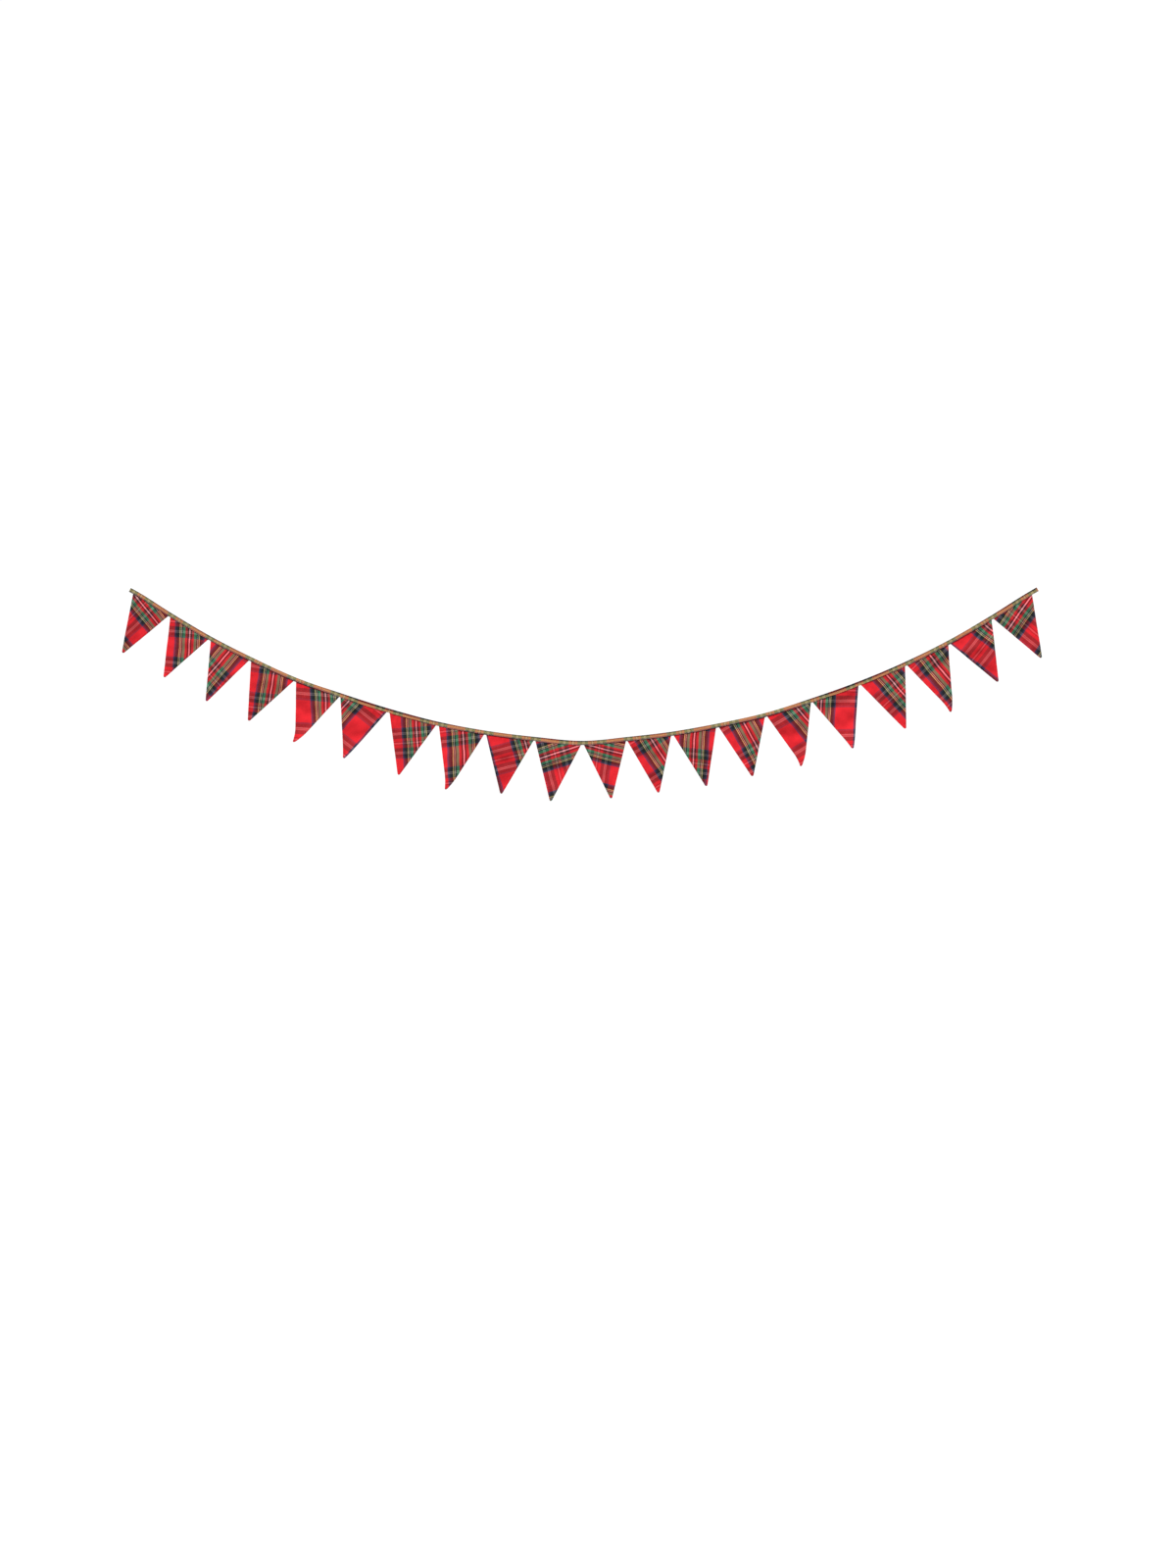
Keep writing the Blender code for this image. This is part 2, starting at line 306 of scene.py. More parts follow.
class Pennant:
    """One pennant: two layers sewn face to face along the sides and turned right side out."""

    TIP_WIDTH = 6.0 * MM
    TIP_RADIUS = 3.5 * MM
    CURL_FROM = 0.75               # a tip bends aside below this share of the drop

    # How it leaves the swag's plane, as its solid does: the most that its tip swings, its sides
    # turn and its middle swells, and how each of them changes from one pennant to the next.
    Change = namedtuple("Change", "most step start")
    SWING = Change(7.0 * MM, 2.3, 0.6)
    TURN = Change(4.0 * MM, 3.7, 1.9)
    SWELL = Change(3.0 * MM, 5.1, 0.3)
    LEAVES_BY = 0.25               # share of the drop by which it has left the plane

    # The grid: shares of the width near a side, with even ones between; and rows as shares of
    # the tuck, then even ones down to the tip, then those that round it off.
    SIDE_SHARES = (0.0, 0.0014, 0.0042, 0.011, 0.022, 0.036)
    INNER_FROM = 0.052
    COLUMNS = 60
    TUCK_SHARES = (-1.0, -0.98, -0.9, -0.6, -0.3)
    ROW_STEP = 2.2 * MM
    TIP_ROWS = 8

    # Puckers along the sewn sides and ripples under the tape, and how far in they reach
    PUCKER = 0.3 * MM
    PUCKER_REACH = 7.0 * MM
    PUCKER_WAVES = (Wave(0.4, 1.9 * MM, 1.7, 1.0), Wave(1.0, 3.7 * MM, 2.9, 4.0))
    RIPPLE = 0.4 * MM
    RIPPLE_REACH = 14.0 * MM
    RIPPLE_WAVES = (Wave(1.0, 3.1 * MM, 1.3, 0.0), Wave(0.6, 5.3 * MM, 1.0, 0.0))
    CREASES_FROM_TOP = 6.0 * MM
    CREASES_FROM_TIP = 12.0 * MM

    # Rumples between the folds. Their lengths across and down are in mm, divided by two pi.
    Rumple = namedtuple("Rumple", "height across down beat")
    WIDE_RUMPLE = Rumple(0.7 * MM, 8.3, 21.0, 0.9)
    FINE_RUMPLE = Rumple(0.42 * MM, 5.9, -9.1, -1.3)
    WIDE_COMES_AND_GOES = (Wave(1.0, 10.7, 1.0, 0.0),)
    FOLDS_GROW_OVER = 25.0         # mm below the tape
    FOLDS_AT_TAPE = 0.1

    # The doubled cloth inside a sewn side stands out, and the middle sinks in a little
    SEAM_RISE = 0.32 * MM
    SEAM_STEP = 1.2 * MM
    HOLLOW = 0.12 * MM
    HOLLOW_OVER = 4.0 * MM
    SEAM_FROM_TAPE = 10.0 * MM

    # How the cloth's threads wander, in mm
    WANDER_ACROSS = (Wave(0.5, 17.0, 1.0, 0.0), Wave(0.3, 7.3, 2.0, 0.0))
    WANDER_DOWN = (Wave(0.5, 19.0, 1.7, 0.0),)

    def __init__(self, swag, index, sizes):
        self.swag, self.index, self.sizes = swag, index, sizes
        cut = LAY[index % len(LAY)]
        self.width, self.drop, self.lean, self.curl = (value * MM for value in cut)
        self.left = swag.corners[index + 1]
        ends = swag.at(np.array([self.left, self.left + self.width]), sizes.tape_depth)
        self.along = (ends[1] - ends[0]) / np.linalg.norm(ends[1] - ends[0])
        self.down = np.array((self.along[2], 0.0, -self.along[0]))
        self.middle = 0.5 * (ends[0] + ends[1])

    def grid(self):
        """Shares across and distances down, closer together at the sewn edges."""
        side = np.array(self.SIDE_SHARES)
        inner = np.linspace(self.INNER_FROM, 1.0 - self.INNER_FROM, self.COLUMNS - 2 * len(side))
        across = np.concatenate((side, inner, 1.0 - side[::-1]))
        tuck = np.array(self.TUCK_SHARES) * self.sizes.pennant_tuck
        rows = int(self.drop / self.ROW_STEP)
        down = np.linspace(0.0, self.drop - self.TIP_RADIUS, rows)
        turn = np.linspace(0.0, 0.5 * np.pi, self.TIP_ROWS + 1)[1:]
        tip = self.drop - self.TIP_RADIUS * (1.0 - np.sin(turn))
        return np.meshgrid(across, np.concatenate((tuck, down, tip)))

    def middle_sheet(self, share, v):
        """Points of the sheet half way between the two layers, and half the width of its rows."""
        station = self.left + self.width * share
        t = np.clip(v / self.drop, 0.0, 1.0)
        top = self.swag.at(station, self.sizes.tape_depth + np.minimum(v, 0.0))
        tip = self.middle + self.lean * self.along + self.drop * self.down
        end = tip + self.along * ((share - 0.5) * self.TIP_WIDTH)[..., None]
        points = top + (end - top) * t[..., None]
        half = 0.5 * (self.width * (1.0 - t) + self.TIP_WIDTH * t)
        short = np.clip((v - self.drop + self.TIP_RADIUS) / self.TIP_RADIUS, 0.0, 1.0)
        squeeze = np.sqrt(1.0 - short**2)
        centre = points + self.along * ((0.5 - share) * 2.0 * half)[..., None]
        points = centre + (points - centre) * squeeze[..., None]
        bend = self.curl * (np.maximum(t - self.CURL_FROM, 0.0) / (1.0 - self.CURL_FROM)) ** 2
        points = points + self.along * bend[..., None]
        points[..., 1] += self.hang(share, t) + self.creases(share, v, half)
        points[..., 1] -= self.folds(points, v)
        return points, half * squeeze

    def hang(self, share, t):
        """How the pennant leaves the swag's plane, as its solid does."""
        swing, turn, rise = (change.most * np.sin(change.step * self.index + change.start)
                             for change in (self.SWING, self.TURN, self.SWELL))
        return (swing * t + turn * (2.0 * share - 1.0) * np.sin(np.pi * t)
                + rise * np.sin(np.pi * share) * np.sin(np.pi * t)) * ease(t / self.LEAVES_BY)

    def folds(self, points, v):
        """How far the soft folds and the rumples between them stand out to the front."""
        across = (points - self.middle) @ self.along / MM
        down = v / MM
        total = np.zeros_like(v)
        for fold in FOLDS:
            if fold.pennant == self.index % len(LAY) + 1:
                turn = np.radians(fold.turn)
                x, y = across - fold.across, down - fold.down
                beside = y * np.cos(turn) - x * np.sin(turn)
                along = x * np.cos(turn) + y * np.sin(turn)
                total += fold.rise * MM * swell(beside, fold.reach) * swell(along, fold.length)
        wide, fine = (rumple.height * np.sin(across / rumple.across + rumple.beat * self.index
                                             + down / rumple.down)
                      for rumple in (self.WIDE_RUMPLE, self.FINE_RUMPLE))
        total += wide * waves(self.WIDE_COMES_AND_GOES, down, self.index) + fine
        return total * ease(down / self.FOLDS_GROW_OVER + self.FOLDS_AT_TAPE)

    def creases(self, share, v, half):
        """Puckers along the sewn sides, and ripples under the tape."""
        width = 2.0 * half
        ripple = waves(self.RIPPLE_WAVES, (share - 0.5) * width, self.index)
        total = self.RIPPLE * ripple * swell(v, self.RIPPLE_REACH)
        for side, distance in enumerate((share * width, (1.0 - share) * width)):
            pucker = waves(self.PUCKER_WAVES, v, self.index, side)
            total += self.PUCKER * pucker * swell(distance, self.PUCKER_REACH)
        return (total * ease(v / self.CREASES_FROM_TOP)
                * ease((self.drop - v) / self.CREASES_FROM_TIP))

    def half_thickness(self, share, v, half):
        """Doubled cloth of the seam inside the sides, and a rolled edge all round."""
        edge = np.minimum(share, 1.0 - share) * 2.0 * half
        past_seam = edge - self.sizes.seam_width
        seam = self.SEAM_RISE * (1.0 - ease(past_seam / self.SEAM_STEP + 0.5))
        hollow = self.HOLLOW * ease(past_seam / self.HOLLOW_OVER)
        body = 0.5 * self.sizes.pennant_cloth + (seam - hollow) * ease(v / self.SEAM_FROM_TAPE)
        nearest = np.minimum(np.minimum(edge, self.drop - v), v + self.sizes.pennant_tuck)
        return rolled(nearest, body)

    def thread_count(self, points, grain, mirror):
        """The cloth's own coordinates of each point, in threads from the pale lines."""
        local = (points - self.middle) / MM
        u = mirror * (local @ self.along)
        v = local @ self.down
        u = u + waves(self.WANDER_ACROSS, v, self.index)
        v = v + waves(self.WANDER_DOWN, u, self.index)
        counts = []
        for turn, line, thread in ((grain.warp_turn, grain.warp_line, grain.warp_thread),
                                   (grain.weft_turn, grain.weft_line, grain.weft_thread)):
            angle = np.radians(turn)
            counts.append((u * np.sin(angle) - v * np.cos(angle) - line) / thread)
        return np.stack(counts, axis=-1)

    def make(self, name):
        share, v = self.grid()
        points, half = self.middle_sheet(share, v)
        lift = np.zeros_like(points)
        lift[..., 1] = self.half_thickness(share, v, half)
        front_grain = GRAIN[self.index % len(GRAIN)]
        back_grain = GRAIN[(self.index + BACK_STEP) % len(GRAIN)]
        return closed_sheet(name, points - lift, points + lift,
                            self.thread_count(points, front_grain, 1.0),
                            self.thread_count(points, back_grain, -1.0))

    def flat_size(self):
        """Width and length of one layer as it is cut, and its area."""
        tuck = self.sizes.pennant_tuck
        area = 0.5 * (self.width + self.TIP_WIDTH) * self.drop + self.width * tuck
        return (self.width, self.drop + tuck), area


class Tape:
    """The folded tape: one strip over the pennants' top edges, open below."""

    SLOT = 1.6 * MM                # between the plies, where a pennant is tucked in
    CLOSED = 0.4 * MM              # between the plies, where there is none
    SLOT_EASE = 4.0 * MM           # from open to closed past a pennant's corner

    # The grid: shares of the way from a sewn edge to the fold, near the edge, down the ply and
    # round the fold; and stations near an end, with even ones between.
    EDGE_SHARES = (0.0, 0.003, 0.011, 0.024, 0.045)
    PLY_SHARES = (0.075, 0.83, 12)
    FOLD_SHARES = (0.86, 1.0, 6)
    END_STATIONS = (0.0, 0.1, 0.3, 0.7)    # mm
    INNER_FROM = 1.5 * MM
    STEP = 3.0 * MM
    JOIN_GAP = 0.05 * MM

    # The sewn edges flare below the stitches, which sink into the cloth and pucker it
    FLARE = 0.45 * MM
    FLARE_FROM = 0.8               # share of the depth
    FLARE_WAVES = (Wave(0.5, 7.0 * MM, 0.0, 1.0),)
    SINK = 0.18 * MM
    SINK_REACH = 0.9 * MM
    PUCKER = 0.10 * MM
    PUCKER_WAVES = (Wave(1.0, 1.9 * MM, 0.0, 1.0), Wave(0.8, 3.3 * MM, 0.0, 2.0))

    # Slow changes along the tape, each of two lengths that beat together
    THICKNESS_CHANGE = 0.08 * MM
    THICKNESS_LENGTHS = (11.0 * MM, 43.0 * MM)
    DEPTH_CHANGE = 0.35 * MM
    DEPTH_LENGTHS = (23.0 * MM, 9.0 * MM)

    STITCH_FROM_EDGE = 2.2 * MM
    STITCH_FROM_END = 2.0 * MM
    STITCH_GUIDE_STEP = 1.0 * MM
    STITCH_RISE = 0.12 * MM
    SLIP_AT = 70.0 * MM            # a pennant's slip holds this far right of its left corner

    def __init__(self, swag, pennants, sizes):
        self.swag, self.sizes = swag, sizes
        self.spans = [(p.left, p.left + p.width) for p in pennants]
        self.strip = self.half_strip() * 2.0

    def half_strip(self):
        """From a sewn edge to the top of the fold, along the middle of a ply."""
        radius = 0.5 * (self.SLOT + self.sizes.tape_ply)
        centre = 0.5 * self.sizes.tape_ply + radius
        return self.sizes.tape_depth - centre + 0.5 * np.pi * radius

    def slot(self, station):
        """Space between the plies: open where a pennant is, closed in between."""
        wide = np.zeros_like(station)
        for left, right in self.spans:
            inside = np.minimum(station - left, right - station)
            wide = np.maximum(wide, ease(1.0 + inside / self.SLOT_EASE))
        return self.CLOSED + (self.SLOT - self.CLOSED) * wide

    def section(self, station, across):
        """Depth and distance behind the sheet of the ply's middle, and its outward direction.

        across runs from -1 at the front's sewn edge, over the fold, to 1 at the back's.
        """
        radius = 0.5 * (self.slot(station) + self.sizes.tape_ply)
        centre = 0.5 * self.sizes.tape_ply + radius
        leg = self.sizes.tape_depth - centre
        from_fold = np.abs(across) * (leg + 0.5 * np.pi * radius)
        angle = np.minimum(from_fold / radius, 0.5 * np.pi)
        straight = np.maximum(from_fold - 0.5 * np.pi * radius, 0.0)
        side = np.sign(across)
        depth = centre - radius * np.cos(angle) + straight
        out = side * radius * np.sin(angle)
        return depth, out, -np.cos(angle), side * np.sin(angle)

    def unevenness(self, station, depth, side):
        """How far a ply stands off its place: flared edge, sunk stitch line and small puckers."""
        share = depth / self.sizes.tape_depth
        stitch_line = self.sizes.tape_depth - self.STITCH_FROM_EDGE
        flare = self.FLARE * np.maximum(share - self.FLARE_FROM, 0.0) / (1.0 - self.FLARE_FROM)
        flare = flare * (1.0 + waves(self.FLARE_WAVES, station, side=side))
        sink = self.SINK * swell(depth - stitch_line, self.SINK_REACH)
        pucker = self.PUCKER * waves(self.PUCKER_WAVES, station, side=side) * share
        first, second = (station / length for length in self.THICKNESS_LENGTHS)
        return flare - sink + pucker + self.THICKNESS_CHANGE * np.sin(first) * np.sin(second)

    def surface(self, station, across, lift):
        """Points of the tape at a distance outwards from the middle of its ply."""
        depth, out, up, behind = self.section(station, across)
        lift = lift + self.unevenness(station, depth, np.sign(across)) * np.abs(behind)
        first, second = (station / length for length in self.DEPTH_LENGTHS)
        waver = self.DEPTH_CHANGE * np.sin(first) * np.sin(second + 1.0)
        return self.swag.at(station, depth + up * lift + waver * (depth / self.sizes.tape_depth),
                            out + behind * lift)

    def grid(self):
        half = np.concatenate((self.EDGE_SHARES, np.linspace(*self.PLY_SHARES),
                               np.linspace(*self.FOLD_SHARES))) - 1.0
        across = np.concatenate((half, -half[-2::-1]))
        ends = np.array(self.END_STATIONS) * MM
        count = int(self.swag.length / self.STEP)
        inner = np.linspace(self.INNER_FROM, self.swag.length - self.INNER_FROM, count)
        join = self.JOIN_GAP * np.array((-1.0, 1.0)) + TAPE_JOIN
        stations = np.concatenate((ends, inner, join, self.swag.length - ends))
        return np.meshgrid(across, np.sort(stations))

    def thread_count(self, station, across):
        """Threads along the tape from the weft's pale line, and mm below the fold on the front."""
        corners = [left for left, right in self.spans]
        half = len(TAPE_SLIP)
        weft = np.zeros_like(station)
        step = 2.0 * HALF_SETT
        for part, chosen in ((0, station < TAPE_JOIN), (1, station >= TAPE_JOIN)):
            first = part * half
            knots = np.array([corners[first + n] + TAPE_SLIP[n].red * MM for n in range(half)])
            counts = HALF_SETT + step * np.arange(half)
            slope = step / np.diff(knots).mean()
            count = np.interp(station, knots, counts)
            count += slope * (np.minimum(station - knots[0], 0.0)
                              + np.maximum(station - knots[-1], 0.0))
            weft = np.where(chosen, count, weft)
        slips = [TAPE_SLIP[n % half].down for n in range(PENNANTS)]
        slip = np.interp(station, [corner + self.SLIP_AT for corner in corners], slips)
        warp = -across * self.strip / 2.0 / MM - slip
        return np.stack((warp, weft), axis=-1)

    def make(self, name):
        across, station = self.grid()
        ply = 0.5 * self.sizes.tape_ply
        edge = (1.0 - np.abs(across)) * self.strip / 2.0
        end = np.minimum(station, self.swag.length - station)
        half = rolled(np.minimum(edge, end), ply)
        threads = self.thread_count(station, across)
        return closed_sheet(name, self.surface(station, across, half),
                            self.surface(station, across, -half), threads, threads)

    def stitch_lines(self):
        """A line on the front and one on the back, above the sewn edges."""
        share = 1.0 - self.STITCH_FROM_EDGE / (self.strip / 2.0)
        station = np.arange(self.STITCH_FROM_END, self.swag.length - self.STITCH_FROM_END,
                            self.STITCH_GUIDE_STEP)
        lift = 0.5 * self.sizes.tape_ply + self.STITCH_RISE
        return [self.surface(station, np.full_like(station, side * share), lift)
                for side in (-1.0, 1.0)]


def closed_sheet(name, front, back, front_threads, back_threads):
    """A closed mesh from two grids of points that meet along the whole of their border."""
    rows, columns = front.shape[:2]
    front_ids = np.arange(rows * columns).reshape(rows, columns)
    back_ids = front_ids.copy()
    inner = (rows - 2) * (columns - 2)
    back_ids[1:-1, 1:-1] = rows * columns + np.arange(inner).reshape(rows - 2, columns - 2)
    points = np.concatenate((front.reshape(-1, 3), back[1:-1, 1:-1].reshape(-1, 3)))

    def corners(grid, flip):
        quads = np.stack((grid[:-1, :-1], grid[:-1, 1:], grid[1:, 1:], grid[1:, :-1]), axis=2)
        return quads[:, :, ::-1] if flip else quads

    faces = [corners(front_ids, True).reshape(-1, 4), corners(back_ids, False).reshape(-1, 4)]
    threads = []
    for values, flip in ((front_threads, True), (back_threads, False)):
        parts = [corners(values[..., n], flip).reshape(-1) for n in (0, 1)]
        threads.append(np.stack(parts, axis=-1))
    mesh = bpy.data.meshes.new(name)
    mesh.from_pydata(points.tolist(), [], np.concatenate(faces).tolist())
    layer = mesh.uv_layers.new(name=THREAD_MAP)
    layer.data.foreach_set("uv", np.concatenate(threads).astype(np.float32).ravel())
    mesh.shade_smooth()
    obj = bpy.data.objects.new(name, mesh)
    bpy.context.scene.collection.objects.link(obj)
    return obj


# ---------------------------------------------------------------- trees of nodes

class Value:
    """An output of a node. Arithmetic on it adds the Math node that does it."""

    def __init__(self, tree, socket):
        self.tree, self.socket = tree, socket

    def maths(self, operation, *terms):
        return self.tree.add("ShaderNodeMath", {"operation": operation}, dict(enumerate(terms)))

    def __add__(self, other):
        return self.maths("ADD", self, other)

    def __sub__(self, other):
        return self.maths("SUBTRACT", self, other)

    def __rsub__(self, other):
        return self.maths("SUBTRACT", other, self)

    def __mul__(self, other):
        return self.maths("MULTIPLY", self, other)

    def __truediv__(self, other):
        return self.maths("DIVIDE", self, other)

    __radd__ = __add__
    __rmul__ = __mul__

    def cosine(self):
        return self.maths("COSINE", self)

    def turned_back(self, span):
        """Counts up to the span, back down to nothing, and up again."""
        return self.maths("PINGPONG", self, span)


class Tree:
    """A tree of nodes, filled by one method."""

    def __init__(self, node_tree):
        self.nodes, self.links = node_tree.nodes, node_tree.links

    def add(self, kind, settings=(), sockets=(), output=0):
        """Adds a node: its settings first, then the value or link of each socket."""
        node = self.nodes.new(kind)
        for name, value in dict(settings).items():
            if name == "stops":
                self.fill_ramp(node.color_ramp, value)
            else:
                setattr(node, name, value)
        self.feed(node, sockets)
        return Value(self, node.outputs[output])

    def feed(self, node, sockets):
        for key, value in dict(sockets).items():
            if isinstance(value, Value):
                self.links.new(value.socket, node.inputs[key])
            else:
                node.inputs[key].default_value = value

    @staticmethod
    def fill_ramp(ramp, stops):
        """Even colours with hard edges between them."""
        ramp.interpolation = "CONSTANT"
        while len(ramp.elements) < len(stops):
            ramp.elements.new(1.0)
        for element, (place, colour) in zip(ramp.elements, stops):
            element.position = place
            element.color = (*colour, 1.0)


class Finish(Tree):
    """A material's nodes, round the Principled shader that it starts with."""

    def __init__(self, name, constants):
        self.material = bpy.data.materials.new(name)
        self.material.use_nodes = True
        super().__init__(self.material.node_tree)
        self.shader = self.nodes["Principled BSDF"]
        self.feed(self.shader, constants)

    def noise(self, vector, scale, detail=2.0):
        """A value about 0.5."""
        return self.add("ShaderNodeTexNoise", {"noise_dimensions": "3D"},
                        {"Vector": vector, "Scale": scale, "Detail": detail})

    def stretched(self, vector, x, y, z=1.0):
        return self.add("ShaderNodeMapping", {"vector_type": "POINT"},
                        {"Vector": vector, "Scale": (x, y, z)})

    def toned(self, colour, tone):
        """The colour made lighter or darker by a value."""
        return self.add("ShaderNodeVectorMath", {"operation": "SCALE"},
                        {"Vector": colour, "Scale": tone})

    def mixed(self, factor, first, second):
        return self.add("ShaderNodeMix", {"data_type": "RGBA"}, {0: factor, 6: first, 7: second},
                        output=2)

    def bump(self, height, distance, strength, **below):
        """A normal that follows the height, over the one below if there is one."""
        return self.add("ShaderNodeBump", {}, {"Height": height, "Distance": distance,
                                               "Strength": strength, **below})


CLOTH = {"Roughness": 0.85, "Specular IOR Level": 0.25, "Sheen Weight": 0.06,
         "Sheen Roughness": 0.5}
YARNS_PER_THREAD = 2.0         # yarns in one step of the sett
TAPE_THREAD = 0.75             # one step of the sett across the tape, in mm
TWILL = 3.0                    # yarns in a repeat of the twill: over two, under one
TWILL_SHARE = 0.22             # how much the warp's share rises and falls with the twill
TWILL_RIDGE, WARP_RIDGE, WEFT_RIDGE = 0.5, 0.3, 0.2     # parts of the weave's relief
WEAVE_DEPTH = 0.05 * MM

# Streaks of uneven yarn: their scale in threads, how little they change along the yarn, and depth
STREAK_SCALE = 0.9
STREAK_RUN = 0.035
STREAK_DEPTH = 0.44

# The cloth as a whole: its tone, and how it fades and crumples here and there
PENNANT_TONE = 0.9
TAPE_TONE = 0.73
FADE_SCALE = 14.0
FADE_DEPTH = 0.2
CRUMPLE_SCALE = 90.0
CRUMPLE_DEPTH = 1.2 * MM


def sett_colours(finish, count, stripes, start, span, yarns):
    """The stripes of a sett by a count from start, with hard edges, before the two are mixed."""
    stops = [((stripe.start - start) / span,
              tuple(c ** (1.0 / TONE) for c in linear(getattr(yarns, stripe.yarn))))
             for stripe in stripes]
    return finish.add("ShaderNodeValToRGB", {"stops": stops}, {"Fac": (count - start) / span})


def tartan(name, along_tape=False):
    """Yarn-dyed cotton twill. The thread map gives its place in the sett."""
    finish = Finish(name, CLOTH)
    yarns = settings()
    threads = finish.add("ShaderNodeUVMap", {"uv_map": THREAD_MAP})
    warp_count = finish.add("ShaderNodeSeparateXYZ", {}, {"Vector": threads}, output="X")
    weft_count = finish.add("ShaderNodeSeparateXYZ", {}, {"Vector": threads}, output="Y")

    if along_tape:
        tone = TAPE_TONE
        warp = sett_colours(finish, warp_count, TAPE_STRIPES, -TAPE_SPAN, 2 * TAPE_SPAN, yarns.warp)
        warp_yarn = warp_count * (YARNS_PER_THREAD / TAPE_THREAD)
    else:
        tone = PENNANT_TONE
        turned = warp_count.turned_back(HALF_SETT)
        warp = sett_colours(finish, turned, WARP_SETT, 0.0, HALF_SETT, yarns.warp)
        warp_yarn = warp_count * YARNS_PER_THREAD
    turned = weft_count.turned_back(HALF_SETT)
    weft = sett_colours(finish, turned, WEFT_SETT, 0.0, HALF_SETT, yarns.weft)
    weft_yarn = weft_count * YARNS_PER_THREAD

    warp_streak = finish.noise(finish.stretched(threads, 1.0, STREAK_RUN), STREAK_SCALE)
    weft_streak = finish.noise(finish.stretched(threads, STREAK_RUN, 1.0), STREAK_SCALE)
    evenly = 1.0 - 0.5 * STREAK_DEPTH
    warp = finish.toned(warp, evenly + warp_streak * STREAK_DEPTH)
    weft = finish.toned(weft, evenly + weft_streak * STREAK_DEPTH)

    twill = ((warp_yarn + weft_yarn) * (2.0 * np.pi / TWILL)).cosine()
    mean = finish.mixed(yarns.warp_share + twill * TWILL_SHARE, weft, warp)
    colour = finish.add("ShaderNodeGamma", {}, {"Color": mean, "Gamma": TONE})
    place = finish.add("ShaderNodeTexCoord", {}, output="Object")
    fade = finish.noise(place, FADE_SCALE, detail=3.0)
    finish.feed(finish.shader, {"Base Color": finish.toned(colour, tone + fade * FADE_DEPTH)})

    relief = (twill * TWILL_RIDGE + (warp_yarn * (2.0 * np.pi)).cosine() * WARP_RIDGE
              + (weft_yarn * (2.0 * np.pi)).cosine() * WEFT_RIDGE)
    woven = finish.bump(relief, WEAVE_DEPTH, 0.6)
    crumple = finish.noise(place, CRUMPLE_SCALE, detail=3.0)
    crumpled = finish.bump(crumple, CRUMPLE_DEPTH, 0.35, Normal=woven)
    finish.feed(finish.shader, {"Normal": crumpled, "Roughness": 0.8 + fade * 0.12})
    return finish.material


TWIST_SCALE = 2500.0
TWIST_DEPTH = 0.1 * MM


def thread_finish(name):
    """Twisted sewing thread, darker and lighter in turn."""
    finish = Finish(name, {"Roughness": 0.6, "Specular IOR Level": 0.4, "Sheen Weight": 0.1})
    place = finish.add("ShaderNodeTexCoord", {}, output="Object")
    dark, light = ((*(tone * part for part in linear(settings().thread)), 1.0)
                   for tone in (0.6, 1.4))
    finish.feed(finish.shader, {"Base Color": finish.mixed(finish.noise(place, 700.0),
                                                           dark, light)})
    twist = finish.noise(finish.stretched(place, 1.0, 1.0, 2.0), TWIST_SCALE)
    finish.feed(finish.shader, {"Normal": finish.bump(twist, TWIST_DEPTH, 0.6)})
    return finish.material


STITCH_SEGMENTS = 8
STITCH_RINGS = 6
STITCH_UNEVEN = (0.9, 1.1)     # shortest and longest, against the stitch length
STITCH_SLANT = 0.09            # most, in radians, up or down


def stitch_tree():
    """Geometry Nodes: a short thread at each step of the lines it is given."""
    group = bpy.data.node_groups.new("lay stitches", "GeometryNodeTree")
    face = group.interface
    face.new_socket(name="Lines", in_out="INPUT", socket_type="NodeSocketGeometry")
    for label, kind in (("Pitch", "Float"), ("Length", "Float"), ("Thread", "Float"),
                        ("Seed", "Int"), ("Finish", "Material")):
        face.new_socket(name=label, in_out="INPUT", socket_type=f"NodeSocket{kind}")
    face.new_socket(name="Stitches", in_out="OUTPUT", socket_type="NodeSocketGeometry")
    tree = Tree(group)
    given = group.nodes.new("NodeGroupInput")
    sizes = {label: Value(tree, given.outputs[label])
             for label in ("Lines", "Pitch", "Length", "Thread", "Seed", "Finish")}
    line = tree.add("GeometryNodeMeshToCurve", {}, {0: sizes["Lines"]})
    steps = tree.add("GeometryNodeResampleCurve", {"mode": "LENGTH"},
                     {"Curve": line, "Length": sizes["Pitch"]})
    thread = tree.add("GeometryNodeMeshUVSphere", {}, {"Segments": STITCH_SEGMENTS,
                                                       "Rings": STITCH_RINGS, "Radius": 0.5})
    uneven = tree.add("FunctionNodeRandomValue", {"data_type": "FLOAT"},
                      {2: STITCH_UNEVEN[0], 3: STITCH_UNEVEN[1], "Seed": sizes["Seed"]},
                      output=1)
    size = tree.add("ShaderNodeCombineXYZ", {}, {"X": sizes["Length"] * uneven,
                                                 "Y": sizes["Thread"], "Z": sizes["Thread"]})
    heading = tree.add("GeometryNodeInputTangent")
    turn = tree.add("FunctionNodeAlignRotationToVector", {"axis": "X"}, {"Vector": heading})
    slant = tree.add("FunctionNodeRandomValue", {"data_type": "FLOAT"},
                     {2: -STITCH_SLANT, 3: STITCH_SLANT, "Seed": sizes["Seed"]}, output=1)
    tilt = tree.add("ShaderNodeCombineXYZ", {}, {"Y": slant})
    turn = tree.add("FunctionNodeRotateRotation", {"rotation_space": "LOCAL"},
                    {"Rotation": turn, "Rotate By": tilt})
    laid = tree.add("GeometryNodeInstanceOnPoints", {},
                    {"Points": steps, "Instance": thread, "Rotation": turn, "Scale": size})
    real = tree.add("GeometryNodeRealizeInstances", {}, {"Geometry": laid})
    smooth = tree.add("GeometryNodeSetShadeSmooth", {}, {"Geometry": real})
    done = tree.add("GeometryNodeSetMaterial", {},
                    {"Geometry": smooth, "Material": sizes["Finish"]})
    result = group.nodes.new("NodeGroupOutput")
    tree.links.new(done.socket, result.inputs["Stitches"])
    return group


